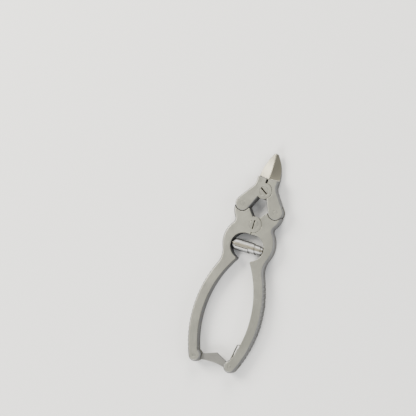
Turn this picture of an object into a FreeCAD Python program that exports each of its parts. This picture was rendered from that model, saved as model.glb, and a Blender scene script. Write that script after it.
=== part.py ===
"""A double-action nail nipper with a barrel spring, drawn closed and lying on its back.

Frame: millimetres, +Z up, +Y towards the jaw tips, +X to the right. The tool rests on Z = 0.
Each piece is drawn about the handle pivot and then moved along Y to the middle of the tool.

The four pivots form a rhombus. The handles turn on the lower one, the jaws on the upper one,
and each jaw's tail turns on a knuckle pin in the handle of its own side. Left pieces carry
the front half of both half-lap hubs, right pieces the rear half.
"""

import FreeCAD, Part
import math
import os
import re

import Sketcher

LEFT, RIGHT = -1, 1
START, END, CENTRE = 1, 2, 3

SIZES = {
    # the whole tool
    "pivot_y": (25.2, "handle pivot, forward of the tool's middle"),
    "thick": (8.4, "thickness of handles and jaws"),
    "lap_gap": (0.06, "gap between the two halves of a lap"),
    "wall_gap": (0.2, "gap round a hub or a knuckle"),
    "run_gap": (0.04, "radial clearance of a turning pin"),
    "seam_gap": (0.04, "gap between the closed cutting edges"),
    # linkage
    "knuckle_x": (11.95, "knuckle pin, to the side of the pivots"),
    "link_y": (11.95, "knuckle pin, forward of the handle pivot"),
    "hub_r": (5.5, "radius of the hubs"),
    "cheek_r": (5.3, "radius of the jaw tail's end"),
    "tongue_r": (5.0, "radius of the handle's tongue"),
    "tongue_gap": (0.7, "gap between the tongue's end and the fork's floor"),
    "tongue_thick": (3.4, "thickness of the handle's tongue"),
    # handle outline
    "shoulder_cx": (4.6, "centre of the shoulder under the knuckle, across"),
    "shoulder_cy": (9.6, "centre of the shoulder, along"),
    "shoulder_r": (12.6, "radius of the shoulder"),
    "waist_r": (3.5, "blend between shoulder and bulge"),
    "bulge_cx": (0.9, "centre of the bulge round the spring recess, across"),
    "bulge_cy": (-13.2, "centre of the bulge, along"),
    "bulge_r": (17.5, "radius of the bulge"),
    "neck_r": (14.0, "blend between bulge and arm"),
    "arm_cx": (-56.1, "centre of the grip arm's outer side, across"),
    "arm_cy": (-65.5, "centre of the arm's outer side, along"),
    "arm_r": (80.3, "radius of the arm's outer side"),
    "boss_y": (-97.05, "pin in the forked end"),
    "boss_r": (4.35, "radius of the forked end"),
    "ramp_up": (4.85, "where the arm's inner side turns out, above the end pin"),
    "inner_cx": (-55.9, "centre of the grip arm's inner side, across"),
    "inner_cy": (-66.0, "centre of the arm's inner side, along"),
    "inner_r": (73.2, "radius of the arm's inner side"),
    "lip_r": (1.0, "rounding of the recess lip"),
    "recess_cx": (2.7, "centre of one half of the spring recess, across"),
    "recess_cy": (-15.9, "centre of the recess, along"),
    "recess_r": (9.2, "radius of the recess"),
    "notch_x": (2.2, "start of the notch edge beside the hub, across"),
    "notch_y": (4.7, "start of that edge, along"),
    "notch_top_x": (7.1, "end of that edge beside the tongue, across"),
    "notch_top_y": (10.6, "end of that edge, along"),
    "horn_y": (9.4, "end of the shoulder, beside the jaw's tail"),
    "middle_gap": (0.3, "half the gap between the handles below the hub"),
    "outer_round": (1.3, "rounding of the handles' outer edges"),
    # grip serration
    "tooth_pitch": (2.95, "pitch of the serration along the arm"),
    "tooth_r": (1.1, "radius of one groove"),
    "tooth_depth": (0.42, "depth of one groove"),
    "tooth_from": (-38.0, "first groove"),
    "tooth_end": (3.0, "last groove, at the least so far above the end pin"),
    # jaws
    "blade_x": (7.3, "half width of the blades at their base"),
    "blade_y": (32.0, "where the blades begin to narrow"),
    "blade_r": (32.5, "outer side of a blade"),
    "tip_long": (0.47, "bevel of the tip"),
    "tip_x": (1.5, "half width of the tip"),
    "collar_r": (7.0, "blend between tail and blade"),
    "collar_y": (29.5, "where that blend meets the blade"),
    "slot_x": (0.8, "half width of the relief slot above the hub"),
    "slot_top": (32.3, "top of the relief slot"),
    "crotch_x": (2.9, "start of the tail's inner edge, across"),
    "crotch_y": (19.2, "start of that edge, along"),
    "jaw_round": (0.9, "rounding of the jaws' outer edges"),
    "hollow_y": (32.0, "where the ground hollow in the blades begins, at the seam"),
    "hollow_heel": (1.0, "radius of the hollow's steep start"),
    "hollow_r": (45.0, "radius of the hollow's floor"),
    "hollow_low_y": (42.0, "deepest line of the floor at the seam"),
    "hollow_low_z": (4.4, "height of that line"),
    "hollow_fall": (12.0, "how far the hollow leans outward, in degrees"),
    "hollow_turn": (6.0, "how far the hollow is turned, in degrees"),
    "back_y": (29.0, "where the back of the blades begins to rise"),
    "back_r": (55.0, "radius of the back of the blades"),
    "relief_z": (3.4, "where the relief behind the edges begins"),
    "relief_x": (0.9, "depth of that relief at the back"),
    # fasteners
    "head_r": (3.1, "radius of a pivot screw's head"),
    "head_deep": (1.5, "thickness of the head"),
    "shank_r": (2.0, "radius of the shank"),
    "drive_wide": (0.9, "width of the screwdriver slot"),
    "drive_deep": (1.2, "depth of the screwdriver slot"),
    "handle_drive_turn": (90.0, "direction of the slot, in degrees"),
    "jaw_drive_turn": (-32.0, "direction of the slot, in degrees"),
    "pin_r": (1.5, "radius of a knuckle pin"),
    "end_pin_r": (1.0, "radius of the pins in the forked ends"),
    # barrel spring
    "spring_end": (10.9, "half length of the spring"),
    "strip": (0.5, "thickness of the spring strip"),
    "coil_r": (4.2, "outer radius of the widest coil"),
    "coil_step": (0.5, "how much smaller each next coil is"),
    "wide_left": (8.6, "left end of the widest coil"),
    "wide_right": (4.4, "right end of the widest coil"),
    "next_left": (9.6, "left end of the next coils"),
    "next_right": (9.3, "right end of the next coils"),
    "stud_r": (1.8, "radius of a spring stud"),
    "stud_out": (2.2, "how far a stud stands out of the wall"),
    "stud_in": (1.8, "how deep a stud is pressed in"),
    # latch
    "latch_thick": (2.2, "thickness of the latch arm"),
    "fork_gap": (0.12, "gap on each side of the latch arm"),
    "fork_deep": (4.45, "depth of the forks above the end pins"),
    "eye_r": (3.0, "radius of the latch arm's eye"),
    "roof_x": (9.2, "half width of the latch arm's raised back"),
    "roof_up": (2.2, "ends of that back, above the end pins"),
    "peak_x": (0.9, "peak of the back"),
    "peak_up": (6.2, "height of that peak above the end pins"),
    "under_down": (1.95, "ends of the lower side, below the end pins"),
    "under_r": (40.0, "radius of that side"),
    "catch_slack": (0.75, "gap between the catch pin and the hook's nose"),
    "catch_lift": (0.4, "how far the nose stands above the pin's middle"),
    "catch_gap": (0.1, "gap under and beside the catch pin"),
    "hook_wall": (1.3, "metal round the notch"),
    # leaf spring
    "leaf": (0.55, "thickness of the leaf spring"),
    "leaf_wide": (2.0, "width of the leaf spring"),
    "leaf_top": (16.05, "top of the hairpin, above the end pin"),
    "leaf_low": (7.05, "end of the fixed leg, above the end pin"),
    "leaf_lean": (8.5, "lean of the free leg, in degrees"),
    "leaf_tip_gap": (0.15, "gap between the free leg and the latch arm's eye"),
    "leaf_bend_r": (1.35, "outer radius of the hairpin's bend"),
    "leaf_rivet": (11.75, "rivet in the fixed leg, above the end pin"),
    "rivet_r": (0.7, "radius of the rivet"),
    "rivet_head_r": (1.05, "radius of the rivet's head"),
    "rivet_head": (0.4, "height of the rivet's head"),
    "rivet_in": (2.5, "length of the rivet in the handle"),
}

# Sizes that follow from others, as expressions
BOSS_X = "(arm_cx + sqrt((arm_r - boss_r)^2 - (boss_y - arm_cy)^2))"
JAW_Y = "(2 * link_y)"
TIP_Y = "(blade_y + sqrt(blade_r^2 - (tip_x - blade_x + blade_r)^2) + tip_long)"
MIDDLE = "(thick / 2)"
LAP = {LEFT: "(thick / 2 + lap_gap / 2)", RIGHT: "(thick / 2 - lap_gap / 2)"}
BEND_X = "(inner_cx + sqrt((inner_r - leaf_bend_r)^2 - (boss_y + leaf_top - leaf_bend_r - inner_cy)^2))"
LEAF_TIP = "(boss_y + eye_r + leaf_tip_gap)"
BEND_Y = "(boss_y + leaf_top - leaf_bend_r)"

NAMES = re.compile(r"\b(" + "|".join(SIZES) + r")\b")
SIDE_NAME = {LEFT: "left", RIGHT: "right"}

doc = FreeCAD.newDocument("nail_nipper")
sheet = doc.addObject("Spreadsheet::Sheet", "Sizes")
for row, (alias, (number, note)) in enumerate(SIZES.items(), 1):
    sheet.set(f"A{row}", alias)
    sheet.set(f"B{row}", str(number))
    sheet.set(f"C{row}", note)
    sheet.setAlias(f"B{row}", alias)
doc.recompute()


# ---- sizes and bindings

def bound(text):
    """An expression in terms of the sheet's cells."""
    return NAMES.sub(r"Sizes.\1", str(text))


def number(text):
    """What an expression comes to now."""
    return float(sheet.evalExpression(bound(text)))


def bind(thing, **expressions):
    """Ties properties to the sheet; a double underscore stands for a dot."""
    for name, text in expressions.items():
        thing.setExpression(name.replace("__", "."), bound(text))


# ---- bodies and their features

def new_body(label):
    body = doc.addObject("PartDesign::Body", label)
    body.Label = label
    bind(body, Placement__Base__y="pivot_y")
    return body


def attached(body, kind, name, plane="XY_Plane"):
    """A new feature on one of the body's origin planes."""
    feature = body.newObject(kind, f"{body.Name}_{name}")
    planes = {f.Role: f for f in body.Origin.OriginFeatures}
    feature.AttachmentSupport = [(planes[plane], "")]
    feature.MapMode = "FlatFace"
    return feature


def post(body, kind, name, x, y, low, high, radius):
    """A cylinder along Z, added or cut away, from one height to another."""
    feature = attached(body, f"PartDesign::{kind}Cylinder", name)
    bind(feature, Radius=radius, Height=f"{high} - {low}", AttachmentOffset__Base__x=x,
         AttachmentOffset__Base__y=y, AttachmentOffset__Base__z=low)
    return feature


def rod(body, kind, name, x_from, x_to, y, z, radius):
    """A cylinder along X, added or cut away."""
    feature = attached(body, f"PartDesign::{kind}Cylinder", name, "YZ_Plane")
    bind(feature, Radius=radius, Height=f"{x_to} - {x_from}", AttachmentOffset__Base__x=y,
         AttachmentOffset__Base__y=z, AttachmentOffset__Base__z=x_from)
    return feature


def pad(body, sketch, low, high):
    feature = body.newObject("PartDesign::Pad", f"{sketch.Name}_pad")
    feature.Profile = sketch
    bind(feature, Length=f"{high} - {low}")
    bind(sketch, AttachmentOffset__Base__z=low)
    return feature


def pocket(body, sketch, low, high):
    """Cuts the sketch out of the body, from one height above its plane up to another."""
    feature = body.newObject("PartDesign::Pocket", f"{sketch.Name}_pocket")
    feature.Profile = sketch
    feature.Reversed = True
    bind(feature, Length=f"{high} - {low}")
    bind(sketch, AttachmentOffset__Base__z=low)
    return feature


def round_edges(body, base, name, radius, chosen):
    """Rounds those edges of the base feature that chosen() picks."""
    doc.recompute()
    edges = [f"Edge{i}" for i, e in enumerate(base.Shape.Edges, 1) if chosen(e)]
    feature = body.newObject("PartDesign::Fillet", f"{body.Name}_{name}")
    feature.Base = (base, edges)
    bind(feature, Radius=radius)
    return feature


def arcs_of(*radii):
    """Picks flat circular edges of these radii."""
    wanted = [number(r) for r in radii]

    def chosen(edge):
        curve = edge.Curve
        flat = edge.BoundBox.ZLength < 1e-6
        return flat and hasattr(curve, "Radius") and min(abs(curve.Radius - w) for w in wanted) < 1e-6
    return chosen


# ---- outlines in sketches

def toward(centre, radius, aim):
    """The point of a circle that lies towards aim."""
    away = math.dist(centre, aim)
    return tuple(c + (a - c) * radius / away for c, a in zip(centre, aim))


def meet(centre_a, reach_a, centre_b, reach_b, near):
    """Where two circles cross, of the two points the one closer to near."""
    apart = math.dist(centre_a, centre_b)
    along = (reach_a ** 2 - reach_b ** 2 + apart ** 2) / (2 * apart)
    up = math.sqrt(reach_a ** 2 - along ** 2)
    ux, uy = ((b - a) / apart for a, b in zip(centre_a, centre_b))
    points = [(centre_a[0] + along * ux - s * up * uy, centre_a[1] + along * uy + s * up * ux)
              for s in (-1, 1)]
    return min(points, key=lambda p: math.dist(p, near))


class Outline:
    """A closed outline in a sketch, drawn edge by edge on the right side and mirrored for the left."""

    def __init__(self, sketch, side, start):
        self.sketch, self.side = sketch, side
        self.at = start
        self.edges = []

    def place(self, point):
        return FreeCAD.Vector(self.side * point[0], point[1], 0)

    def line(self, to):
        edge = Part.LineSegment(self.place(self.at), self.place(to))
        self.edges.append((self.sketch.addGeometry(edge, False), START, END))
        self.at = to
        return self.edges[-1]

    def arc(self, centre, to, left_turn):
        """An arc about centre; left_turn tells which way it bends on the right side."""
        middle, first, last = self.place(centre), self.place(self.at), self.place(to)
        turns_left = left_turn == (self.side == RIGHT)
        if not turns_left:
            first, last = last, first
        a, b = (math.atan2(p.y - middle.y, p.x - middle.x) for p in (first, last))
        circle = Part.Circle(middle, FreeCAD.Vector(0, 0, 1), first.distanceToPoint(middle))
        index = self.sketch.addGeometry(Part.ArcOfCircle(circle, a, b if b > a else b + 2 * math.pi), False)
        self.edges.append((index, START, END) if turns_left else (index, END, START))
        self.at = to
        return self.edges[-1]

    def constrain(self, kind, *arguments, to=None):
        if to is None:
            return self.sketch.addConstraint(Sketcher.Constraint(kind, *arguments))
        index = self.sketch.addConstraint(Sketcher.Constraint(kind, *arguments, number(to)))
        self.sketch.setExpression(f"Constraints[{index}]", bound(to))
        return index

    def join(self, smooth):
        """Ties each edge to the next; smooth lists the edges that run on without a corner."""
        for one, two in zip(self.edges, self.edges[1:] + self.edges[:1]):
            kind = "Tangent" if one in smooth else "Coincident"
            self.constrain(kind, one[0], one[2], two[0], two[1])

    def fix_x(self, edge, end, x):
        self.constrain("DistanceX", edge[0], end, to=f"{self.side} * {x}")

    def fix_y(self, edge, end, y):
        self.constrain("DistanceY", edge[0], end, to=y)

    def fix_radius(self, edge, radius):
        self.constrain("Radius", edge[0], to=radius)

    def fix_circle(self, edge, x, y, radius):
        self.fix_x(edge, CENTRE, x)
        self.fix_y(edge, CENTRE, y)
        self.fix_radius(edge, radius)


def touching(start, centre, radius, hand):
    """Where a line from start touches a circle that it passes on its left (RIGHT) or right (LEFT)."""
    gap = math.dist(start, centre)
    heading = math.atan2(centre[1] - start[1], centre[0] - start[0]) - hand * math.asin(radius / gap)
    reach = math.sqrt(gap ** 2 - radius ** 2)
    return start[0] + reach * math.cos(heading), start[1] + reach * math.sin(heading)


def point(x, y):
    return number(x), number(y)


# ---- handles

def handle_outline(sketch, side):
    """Hub side, recess, inner arm, forked end, outer arm, neck, bulge, waist, shoulder and notch."""
    recess, inner = point("recess_cx", "recess_cy"), point("inner_cx", "inner_cy")
    arm, bulge = point("arm_cx", "arm_cy"), point("bulge_cx", "bulge_cy")
    shoulder, boss = point("shoulder_cx", "shoulder_cy"), point(BOSS_X, "boss_y")
    recess_r, lip_r, inner_r = number("recess_r"), number("lip_r"), number("inner_r")
    bulge_r, arm_r, shoulder_r = number("bulge_r"), number("arm_r"), number("shoulder_r")
    neck_r, waist_r, boss_r = number("neck_r"), number("waist_r"), number("boss_r")

    gap = number("middle_gap")
    hub_corner = (gap, 0.0)
    recess_top = (gap, recess[1] + math.sqrt(recess_r ** 2 - (gap - recess[0]) ** 2))
    lip = meet(recess, recess_r + lip_r, inner, inner_r + lip_r, (0.0, 2 * recess[1]))
    neck = meet(bulge, bulge_r + neck_r, arm, arm_r + neck_r, (bulge_r * 2, bulge[1]))
    waist = meet(shoulder, shoulder_r + waist_r, bulge, bulge_r + waist_r, (bulge_r, 0.0))
    horn_y = number("horn_y")
    horn = (shoulder[0] + math.sqrt(shoulder_r ** 2 - (horn_y - shoulder[1]) ** 2), horn_y)
    ramp_y = number("boss_y + ramp_up")
    ramp_top = (inner[0] + math.sqrt(inner_r ** 2 - (ramp_y - inner[1]) ** 2), ramp_y)
    ramp_low = touching(ramp_top, boss, boss_r, RIGHT)
    notch, notch_top = point("notch_x", "notch_y"), point("notch_top_x", "notch_top_y")

    o = Outline(sketch, side, hub_corner)
    middle_edge = o.line(recess_top)
    recess_arc = o.arc(recess, toward(recess, recess_r, lip), False)
    lip_arc = o.arc(lip, toward(inner, inner_r, lip), True)
    inner_arc = o.arc(inner, ramp_top, False)
    ramp = o.line(ramp_low)
    boss_arc = o.arc(boss, toward(arm, arm_r, boss), True)
    arm_arc = o.arc(arm, toward(arm, arm_r, neck), True)
    neck_arc = o.arc(neck, toward(bulge, bulge_r, neck), False)
    bulge_arc = o.arc(bulge, toward(bulge, bulge_r, waist), True)
    waist_arc = o.arc(waist, toward(shoulder, shoulder_r, waist), False)
    shoulder_arc = o.arc(shoulder, horn, True)
    top_edge = o.line(notch_top)
    notch_edge = o.line(notch)
    hub_edge = o.line(hub_corner)
    o.join({recess_arc, lip_arc, ramp, boss_arc, arm_arc, neck_arc, bulge_arc, waist_arc})

    o.fix_circle(recess_arc, "recess_cx", "recess_cy", "recess_r")
    o.fix_circle(inner_arc, "inner_cx", "inner_cy", "inner_r")
    o.fix_circle(arm_arc, "arm_cx", "arm_cy", "arm_r")
    o.fix_circle(bulge_arc, "bulge_cx", "bulge_cy", "bulge_r")
    o.fix_circle(shoulder_arc, "shoulder_cx", "shoulder_cy", "shoulder_r")
    for edge, radius in ((lip_arc, "lip_r"), (neck_arc, "neck_r"), (waist_arc, "waist_r"),
                         (boss_arc, "boss_r")):
        o.fix_radius(edge, radius)
    o.fix_y(boss_arc, CENTRE, "boss_y")
    o.fix_y(ramp, START, "boss_y + ramp_up")
    o.fix_x(notch_edge, END, "notch_x")
    o.fix_y(notch_edge, END, "notch_y")
    o.fix_x(top_edge, END, "notch_top_x")
    o.fix_y(top_edge, END, "notch_top_y")
    o.fix_y(top_edge, START, "horn_y")
    o.fix_x(middle_edge, START, "middle_gap")
    o.fix_y(middle_edge, START, "0")
    o.fix_x(middle_edge, END, "middle_gap")


def cut_serration(body, side):
    """Grooves across the outer side of the arm, at an even pitch round the arm's centre."""
    centre = attached(body, "Sketcher::SketchObject", "arm_centre")
    bind(centre, AttachmentOffset__Base__x=f"{side} * arm_cx", AttachmentOffset__Base__y="arm_cy")
    reach = number("arm_r - tooth_depth + tooth_r")
    ends = ("tooth_from", "boss_y + tooth_end")
    first, last = (math.asin((number(y) - number("arm_cy")) / reach) for y in ends)
    step = number("tooth_pitch") / number("arm_r")
    count = int((first - last) / step) + 1
    rise = "asin((tooth_from - arm_cy) / (arm_r - tooth_depth + tooth_r))"
    groove = post(body, "Subtractive", "groove",
                  f"{side} * (arm_cx + (arm_r - tooth_depth + tooth_r) * cos({rise}))",
                  "arm_cy + (arm_r - tooth_depth + tooth_r) * sin(" + rise + ")", "0", "thick", "tooth_r")
    pattern = body.newObject("PartDesign::PolarPattern", f"{body.Name}_serration")
    pattern.Originals = [groove]
    pattern.Axis = (centre, ["N_Axis"])
    pattern.Reversed = side == RIGHT
    pattern.Occurrences = count
    pattern.Angle = math.degrees(step) * (count - 1)
    body.Tip = pattern


def make_handle(side):
    """A handle: the left one has the front half of the lap, the right one the rear half."""
    body = new_body(f"{SIDE_NAME[side]}_handle")
    outline = attached(body, "Sketcher::SketchObject", "outline")
    handle_outline(outline, side)
    plate = pad(body, outline, "0", "thick")
    round_edges(body, plate, "rounding", "outer_round", arcs_of("arm_r", "bulge_r"))

    lap = LAP[side]
    own, other = ((lap, "thick"), ("0", lap)) if side == LEFT else (("0", lap), (lap, "thick"))
    post(body, "Subtractive", "lap", "0", "0", *other, "hub_r + wall_gap")
    post(body, "Additive", "hub", "0", "0", *own, "hub_r")

    knuckle = f"{side} * knuckle_x"
    low, high = "((thick - tongue_thick) / 2)", "((thick + tongue_thick) / 2)"
    post(body, "Additive", "tongue", knuckle, "link_y", low, high, "tongue_r")
    post(body, "Subtractive", "rear_cheek", knuckle, "link_y", "0", low, "cheek_r + wall_gap")
    post(body, "Subtractive", "front_cheek", knuckle, "link_y", high, "thick", "cheek_r + wall_gap")
    post(body, "Subtractive", "knuckle_bore", knuckle, "link_y", "0", "thick", "pin_r + run_gap")

    if side == LEFT:
        post(body, "Subtractive", "counterbore", "0", "0", "(thick - head_deep - run_gap)", "thick",
             "head_r + run_gap")
        post(body, "Subtractive", "bore", "0", "0", "0", "thick", "shank_r + run_gap")
    else:
        post(body, "Subtractive", "thread", "0", "0", "0", "thick", "shank_r")

    wall = "(recess_cx + recess_r)"
    ends = (wall, f"({wall} + stud_in)")
    if side == LEFT:
        ends = (f"(-1 * ({wall} + stud_in))", f"(-1 * {wall})")
    rod(body, "Subtractive", "stud_hole", *stretched(ends, side), "recess_cy", MIDDLE, "stud_r")

    cut_fork(body, side)
    if side == RIGHT:
        rivet_hole(body)
    cut_serration(body, side)
    return body


def stretched(ends, side):
    """The hole's mouth is carried into the recess, past the curve of its wall."""
    low, high = ends
    return (f"({low} - recess_r / 2)", high) if side == RIGHT else (low, f"({high} + recess_r / 2)")


def cut_fork(body, side):
    """The slot for the latch arm, and the bore for the pin across it."""
    slot = attached(body, "PartDesign::SubtractiveBox", "fork")
    half = "(latch_thick / 2 + fork_gap)"
    bind(slot, Length="4 * boss_r", Width="fork_deep + 2 * boss_r", Height=f"2 * {half}",
         AttachmentOffset__Base__x=f"{side} * {BOSS_X} - 2 * boss_r",
         AttachmentOffset__Base__y="boss_y - 2 * boss_r", AttachmentOffset__Base__z=f"{MIDDLE} - {half}")
    post(body, "Subtractive", "end_bore", f"{side} * {BOSS_X}", "boss_y", "0", "thick", "end_pin_r")


LEAF_RISE = "asin((boss_y + leaf_rivet - inner_cy) / inner_r)"


def across_leaf(body, kind, name, start, finish, radius):
    """A cylinder square to the arm's inner wall at the leaf spring's rivet; 0 is the wall's surface."""
    feature = attached(body, f"PartDesign::{kind}Cylinder", name, "YZ_Plane")
    bind(feature, Radius=radius, Height=f"{finish} - {start}",
         AttachmentOffset__Base__x=f"inner_cy + (inner_r + {start}) * sin({LEAF_RISE})",
         AttachmentOffset__Base__y=MIDDLE,
         AttachmentOffset__Base__z=f"inner_cx + (inner_r + {start}) * cos({LEAF_RISE})")
    feature.AttachmentOffset = FreeCAD.Placement(
        feature.AttachmentOffset.Base, FreeCAD.Rotation(FreeCAD.Vector(0, 1, 0), number(LEAF_RISE)))
    return feature


def rivet_hole(body):
    across_leaf(body, "Subtractive", "rivet_hole", "(-leaf)", "rivet_in", "rivet_r")


# ---- jaws

def jaw_outline(sketch, side):
    """Seam, relief slot, hub, tail's inner side, tail's end, tail's outer side, collar, blade."""
    knuckle = point("knuckle_x", "link_y")
    collar = point("blade_x + collar_r", "collar_y")
    cheek_r, collar_r = number("cheek_r"), number("collar_r")
    seam, tip_x = number("seam_gap / 2"), number("tip_x")
    crotch, blade_base = point("crotch_x", "crotch_y"), point("blade_x", "blade_y")
    blade = point("blade_x - blade_r", "blade_y")
    shoulder = (tip_x, blade[1] + math.sqrt(number("blade_r") ** 2 - (tip_x - blade[0]) ** 2))

    # the tail's sides touch its round end; the outer one also touches the collar
    tail_in = touching(crotch, knuckle, cheek_r, RIGHT)
    apart = math.dist(knuckle, collar)
    rise = math.atan2(collar[1] - knuckle[1], collar[0] - knuckle[0])
    rise += math.asin((cheek_r + collar_r) / apart) - math.pi / 2
    tail_out = (knuckle[0] + cheek_r * math.cos(rise), knuckle[1] + cheek_r * math.sin(rise))
    collar_in = (collar[0] - collar_r * math.cos(rise), collar[1] - collar_r * math.sin(rise))

    o = Outline(sketch, side, (seam, number(TIP_Y)))
    seam_edge = o.line((seam, number("slot_top")))
    step = o.line(point("slot_x", "slot_top"))
    slot_edge = o.line(point("slot_x", JAW_Y))
    hub_edge = o.line(crotch)
    inner = o.line(tail_in)
    end = o.arc(knuckle, tail_out, True)
    outer = o.line(collar_in)
    collar_arc = o.arc(collar, (blade_base[0], collar[1]), False)
    flank = o.line(blade_base)
    blade_arc = o.arc(blade, shoulder, True)
    tip = o.line((seam, number(TIP_Y)))
    o.join({inner, end, outer, collar_arc, flank})

    o.fix_circle(end, "knuckle_x", "link_y", "cheek_r")
    o.fix_radius(collar_arc, "collar_r")
    o.fix_y(collar_arc, CENTRE, "collar_y")
    o.fix_radius(blade_arc, "blade_r")
    o.constrain("Vertical", flank[0])
    o.fix_x(flank, END, "blade_x")
    o.fix_y(flank, END, "blade_y")
    o.fix_x(tip, START, "tip_x")
    for edge, x, y in ((seam_edge, "seam_gap / 2", "slot_top"), (step, "slot_x", "slot_top"),
                       (slot_edge, "slot_x", JAW_Y), (hub_edge, "crotch_x", "crotch_y"),
                       (tip, "seam_gap / 2", TIP_Y)):
        o.fix_x(edge, END, x)
        o.fix_y(edge, END, y)


def grind_hollow(body, side):
    """A short steep heel and a long shallow floor, leaning outward and turned towards the tip."""
    sketch = attached(body, "Sketcher::SketchObject", "hollow", "YZ_Plane")
    fall, turn = math.radians(number("hollow_fall")), math.radians(number("hollow_turn"))
    normal = FreeCAD.Vector(side * math.sin(turn), -side * math.sin(fall), math.cos(fall) * math.cos(turn))
    sketch.AttachmentOffset = FreeCAD.Placement(
        FreeCAD.Vector(), FreeCAD.Rotation(FreeCAD.Vector(0, 0, 1), normal))
    bind(sketch, AttachmentOffset__Base__x=f"-2 * blade_x * {side} * sin(hollow_turn)",
         AttachmentOffset__Base__y=f"2 * blade_x * {side} * sin(hollow_fall)",
         AttachmentOffset__Base__z="-2 * blade_x * cos(hollow_fall) * cos(hollow_turn)")

    wall, top, far = number("hollow_y"), number("2 * thick"), number("2 * blade_y")
    heel_r, floor_r = number("hollow_heel"), number("hollow_r")
    floor = point("hollow_low_y", "hollow_low_z + hollow_r")
    heel_drop = math.sqrt((floor_r - heel_r) ** 2 - (floor[0] - wall - heel_r) ** 2)
    heel = (wall + heel_r, floor[1] - heel_drop)
    away = (heel[0] + heel[0] - floor[0], heel[1] + heel[1] - floor[1])
    far_z = floor[1] - math.sqrt(floor_r ** 2 - (far - floor[0]) ** 2)
    o = Outline(sketch, RIGHT, (wall, top))
    drop = o.line((wall, heel[1]))
    heel_arc = o.arc(heel, toward(heel, heel_r, away), True)
    floor_arc = o.arc(floor, (far, far_z), True)
    rise = o.line((far, top))
    lid = o.line((wall, top))
    o.join({drop, heel_arc})
    o.fix_circle(floor_arc, "hollow_low_y", "hollow_low_z + hollow_r", "hollow_r")
    o.fix_radius(heel_arc, "hollow_heel")
    o.constrain("Vertical", drop[0])
    o.fix_x(drop, START, "hollow_y")
    o.fix_y(drop, START, "2 * thick")
    o.constrain("Vertical", rise[0])
    o.fix_x(rise, END, "2 * blade_y")
    o.constrain("Horizontal", lid[0])
    cut = body.newObject("PartDesign::Pocket", f"{body.Name}_hollow_cut")
    cut.Profile = sketch
    cut.Reversed = True
    bind(cut, Length="4 * blade_x")


def grind_blade(body, side):
    """The hollow ground into the front, the rounded back, and the relief behind the cutting edge."""
    grind_hollow(body, side)
    back = attached(body, "Sketcher::SketchObject", "back", "YZ_Plane")
    o = Outline(back, RIGHT, point("back_y", "0"))
    centre = point("back_y", "back_r")
    far = number(f"2 * {TIP_Y} - back_y")
    rise = number("back_r") - math.sqrt(number("back_r") ** 2 - (far - centre[0]) ** 2)
    curve = o.arc(centre, (far, rise), True)
    drop = o.line((far, 0.0))
    floor = o.line(point("back_y", "0"))
    o.join(set())
    o.fix_circle(curve, "back_y", "back_r", "back_r")
    o.fix_x(drop, START, f"2 * {TIP_Y} - back_y")
    o.constrain("Vertical", drop[0])
    o.constrain("Horizontal", floor[0])
    o.fix_x(floor, END, "back_y")
    pocket(body, back, "(-2 * blade_x)", "(2 * blade_x)")

    relief = attached(body, "Sketcher::SketchObject", "relief", "XZ_Plane")
    o = Outline(relief, side, point("-slot_x", "relief_z"))
    edges = [o.line(point("-slot_x", "-1")), o.line(point("relief_x", "-1")),
             o.line(point("seam_gap / 2", "relief_z")),
             o.line(point("-slot_x", "relief_z"))]
    o.join(set())
    for edge, x, y in zip(edges, ("-slot_x", "relief_x", "seam_gap / 2", "-slot_x"),
                          ("-1", "-1", "relief_z", "relief_z")):
        o.fix_x(edge, END, x)
        o.fix_y(edge, END, y)
    pocket(body, relief, f"(-2 * {TIP_Y})", f"(-1 * ({JAW_Y} + hub_r + wall_gap))")


def make_jaw(side):
    """A jaw: forked tail, half of the jaw lap, and a ground blade."""
    body = new_body(f"{SIDE_NAME[side]}_jaw")
    outline = attached(body, "Sketcher::SketchObject", "outline")
    jaw_outline(outline, side)
    plate = pad(body, outline, "0", "thick")
    round_edges(body, plate, "rounding", "jaw_round", arcs_of("cheek_r", "blade_r"))

    lap = LAP[side]
    own, other = ((lap, "thick"), ("0", lap)) if side == LEFT else (("0", lap), (lap, "thick"))
    post(body, "Subtractive", "lap", "0", JAW_Y, *other, "hub_r + wall_gap")
    post(body, "Additive", "hub", "0", JAW_Y, *own, "hub_r")

    knuckle = f"{side} * knuckle_x"
    low, high = "((thick - tongue_thick) / 2 - lap_gap)", "((thick + tongue_thick) / 2 + lap_gap)"
    post(body, "Subtractive", "fork", knuckle, "link_y", low, high, "tongue_r + tongue_gap")
    post(body, "Subtractive", "knuckle_bore", knuckle, "link_y", "0", "thick", "pin_r")

    if side == LEFT:
        post(body, "Subtractive", "counterbore", "0", JAW_Y, "(thick - head_deep - run_gap)", "thick",
             "head_r + run_gap")
        post(body, "Subtractive", "bore", "0", JAW_Y, "0", "thick", "shank_r + run_gap")
    else:
        post(body, "Subtractive", "thread", "0", JAW_Y, "0", "thick", "shank_r")
    grind_blade(body, side)
    return body


# ---- fasteners

def make_screw(label, y, turn):
    """A pivot screw: flush slotted head in front, shank down to the back."""
    body = new_body(label)
    post(body, "Additive", "shank", "0", y, "0", "(thick - head_deep)", "shank_r")
    post(body, "Additive", "head", "0", y, "(thick - head_deep)", "thick", "head_r")
    drive = attached(body, "PartDesign::SubtractiveBox", "drive")
    bind(drive, Length="2.2 * head_r", Width="drive_wide", Height="2 * drive_deep")
    turning = FreeCAD.Rotation(FreeCAD.Vector(0, 0, 1), number(turn))
    corner = turning.multVec(FreeCAD.Vector(-number("1.1 * head_r"), -number("drive_wide / 2"), 0))
    place = FreeCAD.Vector(0, number(y), number("thick - drive_deep")) + corner
    drive.AttachmentOffset = FreeCAD.Placement(place, turning)
    return body


def make_pin(label, x, y, radius):
    """A plain pin, flush with both faces."""
    body = new_body(label)
    post(body, "Additive", "pin", x, y, "0", "thick", radius)
    return body


# ---- barrel spring

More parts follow.
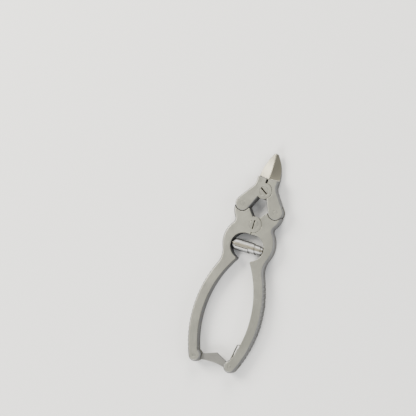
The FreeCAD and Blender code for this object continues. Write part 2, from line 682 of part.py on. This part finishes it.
def spring_coils():
    """Left end, right end and outer radius of each visible coil, as expressions."""
    return (
        ("(-1 * spring_end)", "spring_end", "(coil_r - 2 * coil_step)"),
        ("(-1 * next_left)", "next_right", "(coil_r - coil_step)"),
        ("(-1 * wide_left)", "wide_right", "coil_r"),
    )


def make_spring():
    """The wound strip, pressed together: its coils lie inside each other and leave one bore."""
    body = new_body("barrel_spring")
    for i, (left, right, radius) in enumerate(spring_coils(), 1):
        rod(body, "Additive", f"coil{i}", left, right, "recess_cy", MIDDLE, radius)
    rod(body, "Subtractive", "bore", "(-1 * spring_end)", "spring_end", "recess_cy", MIDDLE,
        "coil_r - 2 * coil_step - strip")
    return body


def make_stud(side):
    """A stud pressed into the recess wall, with the spring's end over it."""
    body = new_body(f"{SIDE_NAME[side]}_spring_stud")
    wall = "(recess_cx + recess_r)"
    deep, out = f"({wall} + stud_in)", f"({wall} - stud_out)"
    ends = (out, deep) if side == RIGHT else (f"(-1 * {deep})", f"(-1 * {out})")
    rod(body, "Additive", "stud", *ends, "recess_cy", MIDDLE, "stud_r")
    return body


# ---- latch

def make_latch_arm():
    """The arm from the right fork to the left one, with a raised back and a hook for the catch pin."""
    body = new_body("latch_arm")
    low, high = f"({MIDDLE} - latch_thick / 2)", f"({MIDDLE} + latch_thick / 2)"
    catch = f"(-1 * {BOSS_X})"
    nose = f"({catch} - end_pin_r - catch_slack)"
    sketch = attached(body, "Sketcher::SketchObject", "outline")
    roof_x, roof_y, under_y = number("roof_x"), number("boss_y + roof_up"), number("boss_y - under_down")
    under = (0.0, under_y - math.sqrt(number("under_r") ** 2 - roof_x ** 2))
    corners = [
        (f"({catch} + end_pin_r + hook_wall)", "(boss_y + end_pin_r + catch_gap)"),
        (f"({nose} - hook_wall)", "(boss_y + end_pin_r + catch_gap)"),
        (f"({nose} - hook_wall)", "(boss_y - end_pin_r)"),
        (f"({nose} + hook_wall / 2)", "(boss_y - end_pin_r - catch_gap - hook_wall)"),
    ]
    o = Outline(sketch, RIGHT, point(BOSS_X, "boss_y + eye_r / 2"))
    right_top = o.line((roof_x, roof_y))
    roof = [o.line(point("peak_x", "boss_y + peak_up")), o.line((-roof_x, roof_y))]
    hook = [o.line(point(*corner)) for corner in corners]
    hook_low = o.line((-roof_x, under_y))
    under_arc = o.arc(under, (roof_x, under_y), False)
    right_low = o.line(point(BOSS_X, "boss_y - eye_r / 2"))
    back = o.line(point(BOSS_X, "boss_y + eye_r / 2"))
    o.join(set())
    fixed = [(right_top, "roof_x", "(boss_y + roof_up)"), (roof[0], "peak_x", "(boss_y + peak_up)"),
             (roof[1], "(-1 * roof_x)", "(boss_y + roof_up)"),
             (hook_low, "(-1 * roof_x)", "(boss_y - under_down)"),
             (right_low, BOSS_X, "boss_y - eye_r / 2"), (back, BOSS_X, "boss_y + eye_r / 2")]
    fixed += [(edge, *corner) for edge, corner in zip(hook, corners)]
    for edge, x, y in fixed:
        o.fix_x(edge, END, x)
        o.fix_y(edge, END, y)
    o.fix_radius(under_arc, "under_r")
    o.fix_x(under_arc, under_arc[2], "roof_x")
    o.fix_y(under_arc, under_arc[2], "(boss_y - under_down)")
    pad(body, sketch, low, high)
    post(body, "Additive", "eye", BOSS_X, "boss_y", low, high, "eye_r")
    post(body, "Subtractive", "eye_bore", BOSS_X, "boss_y", low, high, "end_pin_r + run_gap")

    notch = attached(body, "Sketcher::SketchObject", "notch")
    right_wall = f"({catch} + end_pin_r + catch_gap)"
    floor = "(boss_y - end_pin_r - catch_gap)"
    away = f"({nose} - 2 * hook_wall)"
    ring = [(right_wall, floor), (right_wall, "(boss_y + eye_r)"), (away, "(boss_y + eye_r)"),
            (away, "(boss_y + catch_lift)"), (nose, "(boss_y + catch_lift)"), (nose, floor)]
    o = Outline(notch, RIGHT, point(*ring[0]))
    edges = [o.line(point(*corner)) for corner in ring[1:] + ring[:1]]
    o.join(set())
    for edge, corner in zip(edges, ring[1:] + ring[:1]):
        o.fix_x(edge, END, corner[0])
        o.fix_y(edge, END, corner[1])
    pocket(body, notch, low, high)
    return body


def make_leaf_spring():
    """A hairpin: one leg riveted to the arm's inner wall, the other one down to the latch arm's eye."""
    body = new_body("latch_leaf_spring")
    inner, bend = point("inner_cx", "inner_cy"), point(BEND_X, BEND_Y)
    wall, leaf, bend_r = number("inner_r"), number("leaf"), number("leaf_bend_r")
    low, tip = number("boss_y + leaf_low"), number(LEAF_TIP)
    lean = math.radians(number("leaf_lean"))

    def wall_point(radius):
        return inner[0] + math.sqrt(radius ** 2 - (low - inner[1]) ** 2), low

    def leg_points(radius):
        top = (bend[0] - radius * math.cos(lean), bend[1] - radius * math.sin(lean))
        return top, (top[0] - (top[1] - tip) * math.tan(lean), tip)

    outer_top, outer_tip = leg_points(bend_r)
    inner_top, inner_tip = leg_points(bend_r - leaf)
    sketch = attached(body, "Sketcher::SketchObject", "outline")
    o = Outline(sketch, RIGHT, wall_point(wall))
    wall_arc = o.arc(inner, toward(inner, wall, bend), True)
    bend_out = o.arc(bend, outer_top, True)
    leg_out = o.line(outer_tip)
    tip_edge = o.line(inner_tip)
    leg_in = o.line(inner_top)
    bend_in = o.arc(bend, toward(inner, wall - leaf, bend), False)
    wall_in = o.arc(inner, wall_point(wall - leaf), False)
    end_edge = o.line(wall_point(wall))
    o.join({wall_arc, bend_out, leg_in, bend_in})
    o.fix_circle(wall_arc, "inner_cx", "inner_cy", "inner_r")
    o.fix_radius(bend_out, "leaf_bend_r")
    o.fix_y(bend_out, CENTRE, BEND_Y)
    o.fix_radius(bend_in, "leaf_bend_r - leaf")
    o.fix_y(bend_in, CENTRE, BEND_Y)
    o.fix_radius(wall_in, "inner_r - leaf")
    o.fix_x(wall_in, CENTRE, "inner_cx")
    o.fix_y(wall_in, CENTRE, "inner_cy")
    o.fix_y(end_edge, START, "boss_y + leaf_low")
    o.fix_y(end_edge, END, "boss_y + leaf_low")
    o.fix_y(tip_edge, START, LEAF_TIP)
    o.fix_y(tip_edge, END, LEAF_TIP)
    o.fix_x(leg_out, START, f"({BEND_X} - leaf_bend_r * cos(leaf_lean))")
    o.fix_x(leg_in, END, f"({BEND_X} - (leaf_bend_r - leaf) * cos(leaf_lean))")
    pad(body, sketch, f"({MIDDLE} - leaf_wide / 2)", f"({MIDDLE} + leaf_wide / 2)")
    across_leaf(body, "Subtractive", "rivet_hole", "(-2 * leaf)", "leaf", "rivet_r")
    return body


def make_rivet():
    """The rivet through the leaf spring's fixed leg, into the handle."""
    body = new_body("leaf_spring_rivet")
    across_leaf(body, "Additive", "shank", "(-1 * leaf)", "rivet_in", "rivet_r")
    across_leaf(body, "Additive", "head", "(-1 * leaf - rivet_head)", "(-1 * leaf)", "rivet_head_r")
    return body


# ---- the whole tool

pieces = [make_handle(LEFT), make_handle(RIGHT), make_jaw(LEFT), make_jaw(RIGHT)]
pieces.append(make_screw("handle_pivot_screw", "0", "handle_drive_turn"))
pieces.append(make_screw("jaw_pivot_screw", JAW_Y, "jaw_drive_turn"))
for side in (LEFT, RIGHT):
    pieces.append(make_pin(f"{SIDE_NAME[side]}_knuckle_pin", f"{side} * knuckle_x", "link_y", "pin_r"))
    pieces.append(make_stud(side))
pieces.append(make_spring())
pieces.append(make_latch_arm())
pieces.append(make_pin("latch_pivot_pin", BOSS_X, "boss_y", "end_pin_r"))
pieces.append(make_pin("catch_pin", f"-1 * {BOSS_X}", "boss_y", "end_pin_r"))
pieces.append(make_leaf_spring())
pieces.append(make_rivet())
doc.recompute()

for thing in doc.Objects:
    if {"Invalid", "Error"} & set(thing.State):
        raise SystemExit(f"{thing.Label} was not made: {thing.State}")
for thing in doc.Objects:
    if thing.TypeId == "Sketcher::SketchObject" and thing.GeometryCount and not thing.FullyConstrained:
        raise SystemExit(f"{thing.Label} is not fully constrained")

os.makedirs("parts", exist_ok=True)
for piece in pieces:
    shape = piece.Shape
    if shape.isNull() or not shape.isValid() or len(shape.Solids) != 1:
        raise SystemExit(f"{piece.Label} is not one valid solid")
    shape.exportStep(f"parts/{piece.Label}.step")
    print(f"{piece.Label}: {shape.Volume:.1f} mm3")
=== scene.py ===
"""A double-action nail nipper of stainless steel, latched shut and lying on its back.

Two forged handles turn on a slotted screw and squeeze two short jaws through knuckle pins. A
barrel spring between the handles pushes them apart, and a swinging latch holds them together.
Sizes of the tool are in millimetres, times MM, and those of the room are in metres.
"""
import math

import bpy
import numpy as np
from mathutils import Matrix, Vector


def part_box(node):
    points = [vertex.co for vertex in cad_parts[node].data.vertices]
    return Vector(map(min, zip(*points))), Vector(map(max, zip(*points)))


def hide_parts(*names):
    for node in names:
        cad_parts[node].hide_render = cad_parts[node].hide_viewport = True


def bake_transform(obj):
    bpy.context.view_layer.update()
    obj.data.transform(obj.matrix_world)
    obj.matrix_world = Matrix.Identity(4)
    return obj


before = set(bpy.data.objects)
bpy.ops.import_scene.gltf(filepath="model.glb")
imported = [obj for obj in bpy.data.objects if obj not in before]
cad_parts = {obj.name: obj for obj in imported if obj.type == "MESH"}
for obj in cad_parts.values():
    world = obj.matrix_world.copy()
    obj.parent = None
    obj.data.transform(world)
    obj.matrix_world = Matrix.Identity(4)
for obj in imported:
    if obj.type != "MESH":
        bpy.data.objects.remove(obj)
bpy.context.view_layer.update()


# Bench: the tool lies on a pale matt board between four soft boxes, the strongest on its left and
# the weakest on its right. The camera looks down from a little to its right, turned so that the
# tool leans over.
MM = 0.001
hub_low, hub_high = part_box("handle_pivot_screw")
hub = (hub_low + hub_high) / 2
tilt = math.radians(17.0)
lean = math.radians(17.2)
frame_width = 286.3 * MM
distance = 0.9
sensor = 36
left_of_hub = 33.0 * MM
above_hub = 1.6 * MM
looked_at = Vector((hub.x - left_of_hub / math.cos(tilt), hub.y + above_hub, hub_high.z))
across = Vector((math.cos(tilt), 0, -math.sin(tilt)))
along = Vector((0, 1, 0))
away = Vector((math.sin(tilt), 0, math.cos(tilt)))
right = math.cos(lean) * across + math.sin(lean) * along
up = -math.sin(lean) * across + math.cos(lean) * along
camera_data = bpy.data.cameras.new("camera")
camera_data.sensor_width = sensor
camera_data.lens = sensor * distance / frame_width
camera = bpy.data.objects.new("camera", camera_data)
camera.matrix_world = (Matrix.Translation(looked_at + away * distance)
                       @ Matrix((right, up, away)).transposed().to_4x4())
bpy.context.scene.collection.objects.link(camera)
bpy.context.scene.camera = camera

board_half = 3.0
board_white = (0.88, 0.875, 0.85, 1)
board_mesh = bpy.data.meshes.new("board")
board_mesh.from_pydata(
    [(-board_half, -board_half, 0), (board_half, -board_half, 0),
     (board_half, board_half, 0), (-board_half, board_half, 0)], [], [(0, 1, 2, 3)])
board = bpy.data.objects.new("board", board_mesh)
bpy.context.scene.collection.objects.link(board)
board_finish = bpy.data.materials.new("board")
board_finish.use_nodes = True
board_shader = board_finish.node_tree.nodes["Principled BSDF"]
board_shader.inputs["Base Color"].default_value = board_white
board_shader.inputs["Roughness"].default_value = 0.75
board_mesh.materials.append(board_finish)


box_side = 0.60
warm_lamp, cool_lamp, plain_lamp = (1.0, 0.97, 0.90), (0.97, 0.98, 1.0), (0.99, 0.98, 0.96)


def soft_box(name, place, power, tint):
    """A square lamp of some watts that faces the tool."""
    data = bpy.data.lights.new(name, "AREA")
    data.size = box_side
    data.energy = power
    data.color = tint
    lamp = bpy.data.objects.new(name, data)
    lamp.location = place
    lamp.rotation_mode = "QUATERNION"
    lamp.rotation_quaternion = (-Vector(place)).to_track_quat("-Z", "Y")
    bpy.context.scene.collection.objects.link(lamp)


soft_box("left_box", (-0.83, 0.25, 0.68), 19, warm_lamp)
soft_box("top_box", (-0.10, 1.05, 0.60), 15, warm_lamp)
soft_box("right_box", (0.95, 0.20, 0.55), 8, cool_lamp)
soft_box("low_box", (-0.15, -0.95, 0.62), 14, plain_lamp)
room_colour = (0.93, 0.95, 1.0, 1)
room_strength = 0.43
room = bpy.data.worlds.new("room")
room.use_nodes = True
room_shader = room.node_tree.nodes["Background"]
room_shader.inputs["Color"].default_value = room_colour
room_shader.inputs["Strength"].default_value = room_strength
bpy.context.scene.world = room


# Handles: two steel forgings, each half as thick where they lap round the screw, ground flat on
# both faces, milled across the outer side of the arm for grip, then satin finished all over.
def new_group(name, inputs, outputs):
    """A node group with value or vector inputs and outputs, and its two end nodes."""
    group = bpy.data.node_groups.new(name, "ShaderNodeTree")
    for title, default in inputs.items():
        kind = "NodeSocketVector" if isinstance(default, tuple) else "NodeSocketFloat"
        socket = group.interface.new_socket(title, in_out="INPUT", socket_type=kind)
        socket.default_value = default
    for title, kind in outputs.items():
        group.interface.new_socket(title, in_out="OUTPUT", socket_type=kind)
    return group, group.nodes.new("NodeGroupInput"), group.nodes.new("NodeGroupOutput")


def joined(tree, kind, links, **settings):
    """A node with its settings, whose inputs take links from sockets or plain values."""
    node = tree.nodes.new(kind)
    for key, value in settings.items():
        setattr(node, key, value)
    for key, value in links.items():
        if isinstance(value, bpy.types.NodeSocket):
            tree.links.new(value, node.inputs[key])
        else:
            node.inputs[key].default_value = value
    return node


def worked(tree, operation, *values):
    """What a Math node works out from sockets or plain numbers."""
    return joined(tree, "ShaderNodeMath", dict(enumerate(values)), operation=operation).outputs[0]


def stretched(tree, value, low, high):
    """A value stretched so that low becomes 0 and high becomes 1, and cut off there."""
    return joined(tree, "ShaderNodeMapRange", {
        "Value": value, "From Min": low, "From Max": high}).outputs[0]


def facing(tree):
    """The three parts of the direction that the surface faces."""
    normal = tree.nodes.new("ShaderNodeNewGeometry").outputs["Normal"]
    return joined(tree, "ShaderNodeSeparateXYZ", {0: normal}).outputs


noise_middle = 0.5


def grain_group():
    """Fine streaks: noise of positions that are squeezed along the grain, stretched to 0..1."""
    group, start, end = new_group(
        "grain", {"Position": (0.0, 0.0, 0.0), "Squeeze": (1.0, 1.0, 1.0), "Fineness": 1000.0},
        {"Streaks": "NodeSocketFloat"})
    squeezed = joined(group, "ShaderNodeVectorMath",
                      {0: start.outputs["Position"], 1: start.outputs["Squeeze"]}, operation="MULTIPLY")
    noise = joined(group, "ShaderNodeTexNoise", {
        "Vector": squeezed.outputs[0], "Scale": start.outputs["Fineness"], "Detail": 4.0,
        "Roughness": 0.6})
    group.links.new(stretched(group, noise.outputs["Fac"], 0.3, 0.7), end.inputs["Streaks"])
    return group


def scratch_group():
    """Hair scratches: 1 where long thin noise is at its middle value, falling to 0 at Width from
    it, and kept only in the patches that a broader noise picks out."""
    group, start, end = new_group(
        "scratches", {"Position": (0.0, 0.0, 0.0), "Turn": (0.0, 0.0, 0.0), "Width": 0.006},
        {"Scratches": "NodeSocketFloat"})
    turned = joined(group, "ShaderNodeMapping", {
        "Vector": start.outputs["Position"], "Rotation": start.outputs["Turn"],
        "Scale": (40.0, 900.0, 300.0)})
    noise = joined(group, "ShaderNodeTexNoise", {"Vector": turned.outputs[0], "Scale": 1.0, "Detail": 1.0})
    apart = worked(group, "ABSOLUTE", worked(group, "SUBTRACT", noise.outputs["Fac"], noise_middle))
    line = stretched(group, apart, start.outputs["Width"], 0.0)
    patches = joined(group, "ShaderNodeTexNoise", {
        "Vector": start.outputs["Position"], "Scale": 120.0, "Detail": 1.0})
    kept = stretched(group, patches.outputs["Fac"], noise_middle, 0.62)
    group.links.new(worked(group, "MULTIPLY", line, kept), end.inputs["Scratches"])
    return group


def rounding_and_shade_group():
    """Edges and corners. Edge is 1 where the surface turns within Round, and Normal rounds it off.
    CreviceShade is 1 deep in seams and slots, where at most a third of the sky within Reach is open,
    and places painted shade there."""
    group, start, end = new_group(
        "rounding_and_shade", {"Round": 0.0003, "Reach": 0.001},
        {"Edge": "NodeSocketFloat", "Normal": "NodeSocketVector", "CreviceShade": "NodeSocketFloat"})
    rounded = joined(group, "ShaderNodeBevel", {"Radius": start.outputs["Round"]}, samples=6)
    plain = group.nodes.new("ShaderNodeNewGeometry")
    agree = joined(group, "ShaderNodeVectorMath",
                   {0: rounded.outputs[0], 1: plain.outputs["Normal"]}, operation="DOT_PRODUCT")
    sky = joined(group, "ShaderNodeAmbientOcclusion", {"Distance": start.outputs["Reach"]}, samples=8)
    group.links.new(stretched(group, agree.outputs["Value"], 0.995, 0.85), end.inputs["Edge"])
    group.links.new(rounded.outputs[0], end.inputs["Normal"])
    group.links.new(stretched(group, sky.outputs["AO"], 0.85, 0.35), end.inputs["CreviceShade"])
    return group


def flank_group():
    """Sides and rounded edges, as 0..1: how far the surface turns away from straight up or down. It
    places the sides' rougher blasted finish and painted shade on them.
    """
    group, start, end = new_group("flanks", {"From": 0.995, "To": 0.93}, {"Flank": "NodeSocketFloat"})
    level = worked(group, "ABSOLUTE", facing(group)["Z"])
    flank = stretched(group, level, start.outputs["From"], start.outputs["To"])
    group.links.new(flank, end.inputs["Flank"])
    return group


def smudge_group():
    """Soft patches left by fingers and cleaning: broad, distorted noise, stretched to 0..1."""
    group, start, end = new_group(
        "smudges", {"Position": (0.0, 0.0, 0.0), "Breadth": 90.0}, {"Film": "NodeSocketFloat"})
    broad = joined(group, "ShaderNodeTexNoise", {
        "Vector": start.outputs["Position"], "Scale": start.outputs["Breadth"], "Detail": 3.0,
        "Distortion": 0.6})
    group.links.new(stretched(group, broad.outputs["Fac"], 0.35, 0.65), end.inputs["Film"])
    return group


grain, scratches, rounding_and_shade = grain_group(), scratch_group(), rounding_and_shade_group()
flanks, smudges = flank_group(), smudge_group()


def placed(tree, group, links):
    """A node group in a material, with its inputs linked or set."""
    return joined(tree, "ShaderNodeGroup", links, node_tree=group)


def tinted(tree, amount, under, over):
    """Colour under, going over to another as amount goes from 0 to 1."""
    node = joined(tree, "ShaderNodeMix", {"Factor": amount}, data_type="RGBA")
    for socket, value in ((node.inputs[6], under), (node.inputs[7], over)):
        if isinstance(value, bpy.types.NodeSocket):
            tree.links.new(value, socket)
        else:
            socket.default_value = (*value, 1)
    return node.outputs[2]


def mixed(tree, amount, low, high):
    """A value that goes from low to high as amount goes from 0 to 1."""
    return joined(tree, "ShaderNodeMix", {"Factor": amount, 2: low, 3: high}).outputs[0]


# Painted shade: the sides darker grey than the faces, over their real blasted finish.
blasted_and_shaded_grey = (0.31, 0.31, 0.305)
# Painted shade: brown deep in seams and slots, where little light reaches.
seam_shade_brown = (0.045, 0.038, 0.032)
seam_rough = 0.8
streak_dark = 0.86
scratch_pale = 1.25
streak_rough = 0.03
scratch_turn = (0.2, 0.1, 0.5)
mirror_tint = (0.45, 0.45, 0.45, 1)
bump_strength = 0.35


def steel(name, tint, rough, squeeze, fineness, depth, film=0.05, edge_round=0.3, shade_reach=1.0,
          edge_shade_tone=0.3, side_shade_tone=0.66, side_rough=0.58, finish_and_shade=None):
    """Ground and satin-finished stainless steel.

    Base colour: tint, darker in the streaks and paler in the scratches, side_shade_tone times grey on
    the blasted sides as painted shade, edge_shade_tone times tint as painted shade along sharp edges,
    and painted brown shade deep in seams.
    Roughness: rough, a little more or less in the streaks, side_rough on the sides, plus film in
    the smudges. Height: streaks less scratches, depth millimetres high. squeeze and fineness set
    the streaks, and edge_round and shade_reach are millimetres. finish_and_shade is a function that
    gives the mask, tint and roughness of an area of its own: polish on the blades, painted shade on
    the spring's rims.
    """
    material = bpy.data.materials.new(name)
    material.use_nodes = True
    tree = material.node_tree
    shader = tree.nodes["Principled BSDF"]
    position = tree.nodes.new("ShaderNodeTexCoord").outputs["Object"]
    streaks = placed(tree, grain, {"Position": position, "Squeeze": squeeze, "Fineness": fineness})
    hairs = placed(tree, scratches, {"Position": position, "Turn": scratch_turn})
    shade_marks = placed(tree, rounding_and_shade, {"Round": edge_round * MM, "Reach": shade_reach * MM})
    patches = placed(tree, smudges, {"Position": position})
    sides = placed(tree, flanks, {})
    dark = tuple(streak_dark * c for c in tint)
    pale = tuple(min(1, scratch_pale * c) for c in tint)
    colour = tinted(tree, streaks.outputs["Streaks"], dark, tint)
    colour = tinted(tree, hairs.outputs["Scratches"], colour, pale)
    # Painted shade on the sides, with their rougher blasted finish below.
    colour = tinted(tree, sides.outputs["Flank"], colour, tuple(side_shade_tone * c for c in blasted_and_shaded_grey))
    roughness = mixed(tree, streaks.outputs["Streaks"], rough - streak_rough, rough + streak_rough)
    roughness = mixed(tree, sides.outputs["Flank"], roughness, side_rough)
    # An area of its own colour and roughness: polish on the blades, painted shade on the spring's rims.
    if finish_and_shade:
        mask, bright, smooth = finish_and_shade(tree, position)
        colour = tinted(tree, mask, colour, bright)
        roughness = mixed(tree, mask, roughness, smooth)
    # Painted shade: a darker line along sharp edges.
    colour = tinted(tree, shade_marks.outputs["Edge"], colour, tuple(edge_shade_tone * c for c in tint))
    # Painted shade: brown deep in seams and slots.
    colour = tinted(tree, shade_marks.outputs["CreviceShade"], colour, seam_shade_brown)
    tree.links.new(colour, shader.inputs["Base Color"])
    filmed = worked(tree, "MULTIPLY_ADD", patches.outputs["Film"], film, roughness)
    grimed = mixed(tree, shade_marks.outputs["CreviceShade"], filmed, seam_rough)
    tree.links.new(grimed, shader.inputs["Roughness"])
    shader.inputs["Metallic"].default_value = 1
    shader.inputs["Specular Tint"].default_value = mirror_tint
    height = worked(tree, "SUBTRACT", streaks.outputs["Streaks"], hairs.outputs["Scratches"])
    bump = joined(tree, "ShaderNodeBump", {
        "Height": height, "Normal": shade_marks.outputs["Normal"], "Strength": bump_strength,
        "Distance": depth * MM})
    tree.links.new(bump.outputs["Normal"], shader.inputs["Normal"])
    return material


def repaint(material, *names):
    """Gives CAD nodes a finish in place of their plain one."""
    for name in names:
        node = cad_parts[name]
        node.data.materials.clear()
        node.data.materials.append(material)


warm_steel = (0.43, 0.425, 0.358)
handle_finish = steel("handle_satin", warm_steel, rough=0.37, squeeze=(1.0, 0.12, 1.0),
                      fineness=2600.0, depth=0.02, edge_round=0.5)
repaint(handle_finish, "left_handle", "right_handle")


# Jaws: forged steel, ground flat like the handles and lapped round their own screw. The blades
# are hollow ground across and polished bright down to the cutting edges.
jaw_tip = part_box("left_jaw")[1]
blade_length = 19.2 * MM
face_skin = 0.01 * MM
level_enough = 0.9
blade_bright = (0.29, 0.272, 0.212)
blade_smooth = 0.34


def hollow_ground(tree, position):
    """Mask of the polished blades: above the body of the jaw, below its face, facing up."""
    place = joined(tree, "ShaderNodeSeparateXYZ", {0: position}).outputs
    beyond = worked(tree, "GREATER_THAN", place["Y"], jaw_tip.y - blade_length)
    below = worked(tree, "LESS_THAN", place["Z"], jaw_tip.z - face_skin)
    upward = worked(tree, "GREATER_THAN", facing(tree)["Z"], level_enough)
    mask = worked(tree, "MULTIPLY", worked(tree, "MULTIPLY", beyond, below), upward)
    return mask, blade_bright, blade_smooth


jaw_finish = steel("jaw_satin", warm_steel, rough=0.36, squeeze=(1.0, 0.15, 1.0),
                   fineness=2600.0, depth=0.015, edge_round=0.5, finish_and_shade=hollow_ground)
repaint(jaw_finish, "left_jaw", "right_jaw")


# Pivot screws: turned steel with a sawn slot, tightened, then lapped flush with the faces, which
# leaves fine, even marks. The slot and the seams round the screws get painted shade.
screw_finish = steel("screw_turned", warm_steel, rough=0.35, squeeze=(1.0, 1.0, 1.0),
                     fineness=1800.0, depth=0.01, shade_reach=1.6, edge_shade_tone=0.6)
repaint(screw_finish, "handle_pivot_screw", "jaw_pivot_screw")


# Pins: ground steel rod riveted flush in the jaws' knuckles and in the forked ends of the arms,
# so that only a faint ring shows.
pin_finish = steel("pin_polished", warm_steel, rough=0.34, squeeze=(1.0, 1.0, 1.0),
                   fineness=1500.0, depth=0.01, edge_shade_tone=0.75)
repaint(pin_finish, "left_knuckle_pin", "right_knuckle_pin", "latch_pivot_pin", "catch_pin")


# Spring studs: short turned steel pegs, pressed into the sides of the handles' recess, where they
# keep the spring's ends in place.
repaint(screw_finish, "left_spring_stud", "right_spring_stud")


# Barrel spring: one tapered strip of polished spring steel rolled into a barrel, so that each
# turn sits inside the one before and reaches further out at the ends.
spring_low, spring_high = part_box("barrel_spring")
axis = (spring_low + spring_high) / 2
end_reach = (spring_high.x - spring_low.x) / 2
outer_r = (spring_high.z - spring_low.z) / 2
strip = 0.34 * MM
step_in = 0.5 * MM
turns = 3.25
free_end = math.radians(112)
right_start, right_travel = 0.9 * MM, 4.4 * MM
left_start, left_travel = -8.9 * MM, 0.7 * MM
rim_steps, side_steps, turn_steps = 6, 22, 64
spring_steel = (0.36, 0.33, 0.25)
# Painted shade: the strip's rims near black, darkening the steps between turns.
rim_shade_dark = (0.05, 0.045, 0.04)
rim_rough = 0.5


def rolled_strip():
    """The strip as rings of points. turn goes from 0 at the free outer end inwards, and the outer
    face is at outer_r - step_in * turn. The right edge is at right_start + right_travel * turn and
    the left at left_start - left_travel * turn, both no further out than the spring's ends. Each
    ring goes round the right edge's half circle, over the outer face to the left edge, round that
    and back along the inner face."""
    steps = int(turns * turn_steps)
    turn = np.linspace(0, turns, steps + 1)[:, None]
    right_edge = np.minimum(right_start + right_travel * turn, end_reach)
    left_edge = np.maximum(left_start - left_travel * turn, -end_reach)
    rim = np.linspace(-math.pi / 2, math.pi / 2, rim_steps + 1)
    side = np.linspace(-1, 1, side_steps + 1)[1:-1]
    half = strip / 2
    share = np.concatenate([np.ones(rim_steps + 1), -side, -np.ones(rim_steps + 1), side])
    out = np.concatenate([half * np.sin(rim), half + 0 * side, half * np.sin(-rim), -half + 0 * side])
    past = np.concatenate([half * np.cos(rim) - half, 0 * side, half - half * np.cos(rim), 0 * side])
    middle, reach = (right_edge + left_edge) / 2, (right_edge - left_edge) / 2
    x = middle + reach * share + past
    radius = outer_r - half - step_in * turn + out
    angle = free_end + 2 * math.pi * turn
    points = np.stack([axis.x + x, axis.y + radius * np.cos(angle), axis.z + radius * np.sin(angle)], 2)
    ring = len(share)
    first = np.arange(steps)[:, None] * ring
    here, there = np.arange(ring), np.roll(np.arange(ring), -1)
    faces = np.stack([first + here, first + there, first + ring + there, first + ring + here], 2)
    caps = [list(range(ring))[::-1], list(range(steps * ring, (steps + 1) * ring))]
    mesh = bpy.data.meshes.new("spring_strip")
    mesh.from_pydata(points.reshape(-1, 3).tolist(), [], faces.reshape(-1, 4).tolist() + caps)
    mesh.shade_smooth()
    return mesh


def shaded_rims(tree, position):
    """Mask of the strip's sheared edges, which face along the barrel, painted near black as the shade
    at the steps between turns.
    """
    mask = stretched(tree, worked(tree, "ABSOLUTE", facing(tree)["X"]), 0.3, 0.6)
    return mask, rim_shade_dark, rim_rough


spring_finish = steel("spring_polished", spring_steel, rough=0.36, squeeze=(0.1, 1.0, 1.0),
                      fineness=1200.0, depth=0.004, film=0.08, edge_round=0.08, edge_shade_tone=0.6,
                      side_shade_tone=0.95, side_rough=0.4, finish_and_shade=shaded_rims)
spring = bpy.data.objects.new("spring_strip", rolled_strip())
bpy.context.scene.collection.objects.link(spring)
spring.data.materials.append(spring_finish)
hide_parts("barrel_spring")
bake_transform(spring)


# Latch: an arched lever stamped from steel strip, pinned in the right arm's fork, with a hooked
# nose that drops behind the catch pin in the left arm.
latch_steel = (0.42, 0.41, 0.37)
latch_finish = steel("latch_stamped", latch_steel, rough=0.34, squeeze=(0.15, 1.0, 1.0),
                     fineness=2600.0, depth=0.015, edge_round=0.2)
repaint(latch_finish, "latch_arm")


# Latch spring: a hairpin of thin spring steel, riveted to the inside of the right arm, that
# presses on the latch's eye and holds it open or shut.
leaf_steel = (0.34, 0.33, 0.29)
leaf_finish = steel("leaf_bright", leaf_steel, rough=0.32, squeeze=(1.0, 0.15, 1.0),
                    fineness=2200.0, depth=0.01, edge_round=0.1, shade_reach=0.5)
repaint(leaf_finish, "latch_leaf_spring", "leaf_spring_rivet")
